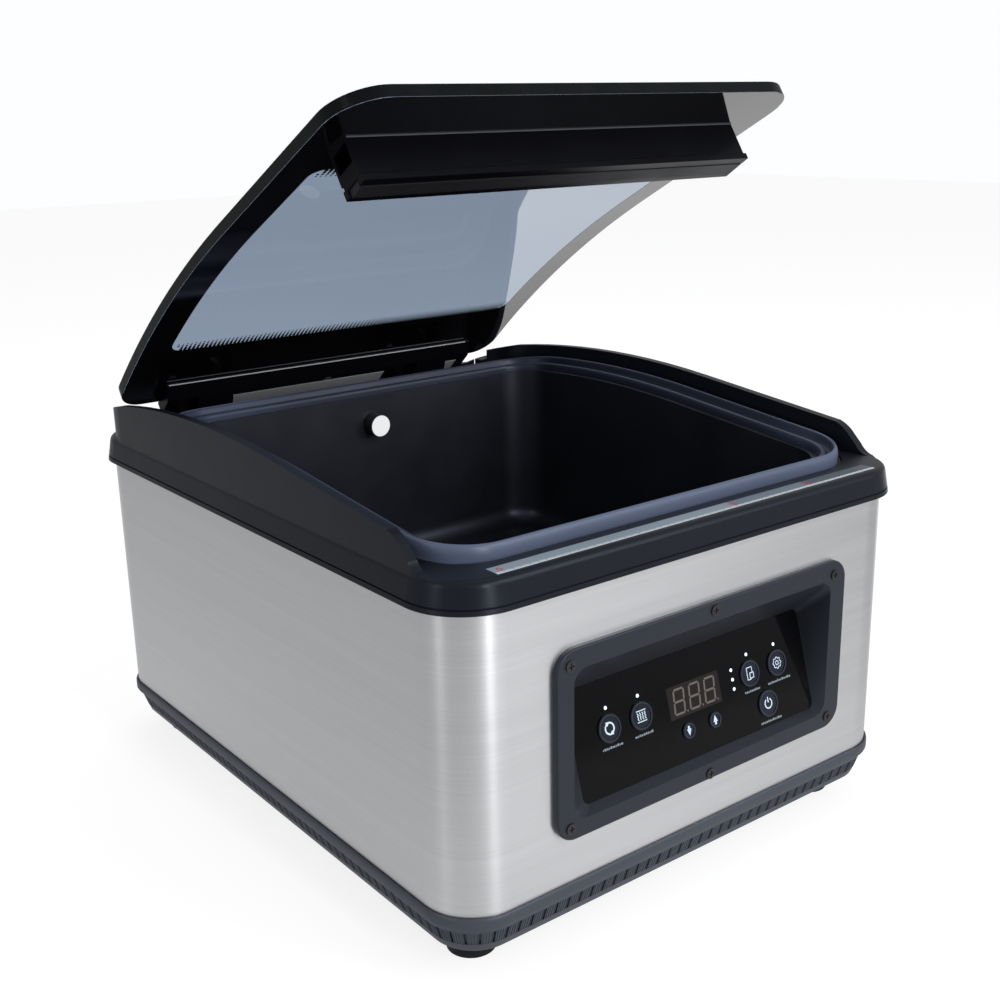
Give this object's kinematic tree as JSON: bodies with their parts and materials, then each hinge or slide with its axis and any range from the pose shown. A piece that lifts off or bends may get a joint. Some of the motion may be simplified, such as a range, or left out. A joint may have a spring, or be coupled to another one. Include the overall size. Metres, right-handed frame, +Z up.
{
  "type": "vacuum chamber sealer",
  "caption": "Tabletop vacuum chamber sealer with brushed steel body, dark cover with arched sides, raised curved glass lid with counter bar, gasketed tub and tilted control panel",
  "frame": {"origin": "on the worktop, under the middle of the machine's outline", "axes": "+Z up, -Y out of the front with the control panel, +X to the operator's right; the lid is open at rest"},
  "size_m": [0.3546, 0.436, 0.4512],
  "materials": {
    "tray_plastic": "moulded, fine grain",
    "foot_rubber": "matt",
    "screw_black": "black oxide",
    "brushed_steel": "fine horizontal brushing",
    "cover_plastic": "satin slate",
    "tub_plastic": "satin near-black",
    "gasket_rubber": "blue-grey silicone",
    "label_print": "printed film",
    "bezel_plastic": "satin slate",
    "plate_gloss": "high gloss",
    "display_red": "smoked window",
    "light_white": "clear lens",
    "board_green": "solder mask",
    "bright_metal": "turned, satin",
    "plain_steel": "ground",
    "cast_alloy": "cast",
    "motor_paint": "satin",
    "hose_rubber": "matt",
    "core_iron": "varnished laminations",
    "coil_copper": "taped winding",
    "dark_plastic": "moulded",
    "lid_glass": "tinted with black printed border",
    "bar_black": "black anodised",
    "silicone_pad": "matt",
    "bar_alloy": "anodised",
    "wire_metal": "flat resistance wire",
    "ptfe": "coated glass cloth",
    "key_gloss": "gloss with a lit rim",
    "washer_polymer": "friction disc"
  },
  "bodies": {
    "housing": {"base_tray": "tray_plastic", "rubber_feet": "foot_rubber", "foot_screws": "screw_black", "steel_wrap": "brushed_steel", "top_cover": "cover_plastic", "chamber": "tub_plastic", "chamber_gasket": "gasket_rubber", "ruler_label": "label_print", "panel_bezel": "bezel_plastic", "bezel_screws": "screw_black", "panel_plate": "plate_gloss", "display_module": "display_red", "indicator_lights": "light_white", "control_board": "board_green", "wall_knob": "bright_metal", "vacuum_port": "cast_alloy", "lift_cylinders": "cast_alloy", "hinge_brackets": "plain_steel", "hinge_pins": "plain_steel", "hinge_washers": "washer_polymer", "hinge_screws": "screw_black", "lid_sensor": "dark_plastic", "pump_motor": "motor_paint", "pump_head": "cast_alloy", "pump_mounts": "foot_rubber", "suction_hose": "hose_rubber", "lift_line": "hose_rubber", "lift_valve": "cast_alloy", "vent_valve": "cast_alloy", "transformer_core": "core_iron", "transformer_coils": "coil_copper", "power_board": "board_green", "fan_frame": "dark_plastic", "inlet_socket": "dark_plastic", "rocker_frame": "dark_plastic"},
    "lid": {"lid_glass": "lid_glass", "hinge_bar": "bar_black", "sensor_magnet": "plain_steel", "counter_bar": "bar_black", "silicone_strip": "silicone_pad"},
    "seal_bar": {"seal_bar": "bar_alloy", "heating_wire": "wire_metal", "ptfe_tape": "ptfe", "lift_pins": "plain_steel"},
    "button_recirculate": {"button_recirculate": "key_gloss"},
    "button_seal": {"button_seal": "key_gloss"},
    "button_bag": {"button_bag": "key_gloss"},
    "button_user": {"button_user": "key_gloss"},
    "button_power": {"button_power": "key_gloss"},
    "button_down": {"button_down": "key_gloss"},
    "button_up": {"button_up": "key_gloss"},
    "fan_rotor": {"fan_rotor": "dark_plastic"},
    "power_rocker": {"power_rocker": "dark_plastic"}
  },
  "joints": [
    {"name": "lid_hinge", "type": "hinge", "parent": "housing", "child": "lid", "pos_m": [0, 0.196, 0.2183], "axis": [-1, 0, 0], "range_deg": [-33, 0]},
    {"name": "seal_bar_lift", "type": "slide", "parent": "housing", "child": "seal_bar", "axis": [0, 0, 1], "range_m": [0, 0.008]},
    {"name": "recirculate_press", "type": "slide", "parent": "housing", "child": "button_recirculate", "axis": [0, 0.9613, -0.2756], "range_m": [0, 0.0007]},
    {"name": "seal_press", "type": "slide", "parent": "housing", "child": "button_seal", "axis": [0, 0.9613, -0.2756], "range_m": [0, 0.0007]},
    {"name": "bag_press", "type": "slide", "parent": "housing", "child": "button_bag", "axis": [0, 0.9613, -0.2756], "range_m": [0, 0.0007]},
    {"name": "user_press", "type": "slide", "parent": "housing", "child": "button_user", "axis": [0, 0.9613, -0.2756], "range_m": [0, 0.0007]},
    {"name": "power_press", "type": "slide", "parent": "housing", "child": "button_power", "axis": [0, 0.9613, -0.2756], "range_m": [0, 0.0007]},
    {"name": "down_press", "type": "slide", "parent": "housing", "child": "button_down", "axis": [0, 0.9613, -0.2756], "range_m": [0, 0.0007]},
    {"name": "up_press", "type": "slide", "parent": "housing", "child": "button_up", "axis": [0, 0.9613, -0.2756], "range_m": [0, 0.0007]},
    {"name": "fan_spin", "type": "hinge", "parent": "housing", "child": "fan_rotor", "pos_m": [-0.09, 0.2029, 0.12], "axis": [0, 1, 0], "continuous": true},
    {"name": "mains_rock", "type": "hinge", "parent": "housing", "child": "power_rocker", "pos_m": [0.082, 0.20915, 0.085], "axis": [1, 0, 0], "range_deg": [-16, 0]}
  ]
}
